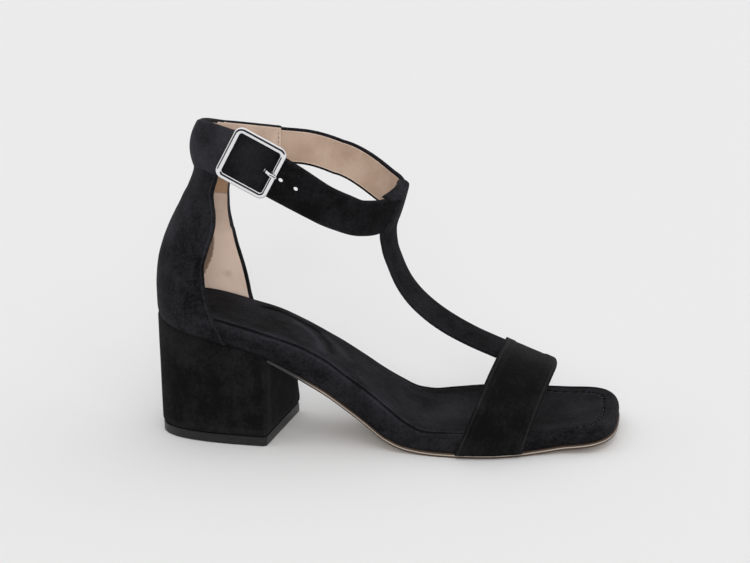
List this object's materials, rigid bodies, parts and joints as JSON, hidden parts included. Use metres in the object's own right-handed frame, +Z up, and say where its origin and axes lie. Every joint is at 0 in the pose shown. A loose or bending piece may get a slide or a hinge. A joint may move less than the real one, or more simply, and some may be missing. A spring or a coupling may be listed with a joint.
{
  "type": "ankle strap sandal",
  "caption": "Right ankle strap sandal in black suede with a block heel, a strap over the toes joined by a T strap to the ankle strap, and a square nickel buckle",
  "frame": {"origin": "centre of the bounding box in plan, on the floor plane under the heel and the forefoot", "axes": "+X points from heel to toe, +Y to the medial side of the foot, +Z up"},
  "size_m": [0.2428, 0.0868, 0.1699],
  "materials": {
    "outsole": "satin",
    "footbed": "suede nap",
    "heel_block": "suede nap",
    "top_lift": "satin",
    "upper": "suede nap",
    "buckle_frame": "polished",
    "buckle_prong": "polished"
  },
  "bodies": {
    "root": {"outsole": "outsole", "footbed": "footbed", "heel_block": "heel_block", "top_lift": "top_lift", "upper": "upper", "buckle_frame": "buckle_frame", "buckle_prong": "buckle_prong"}
  },
  "joints": []
}
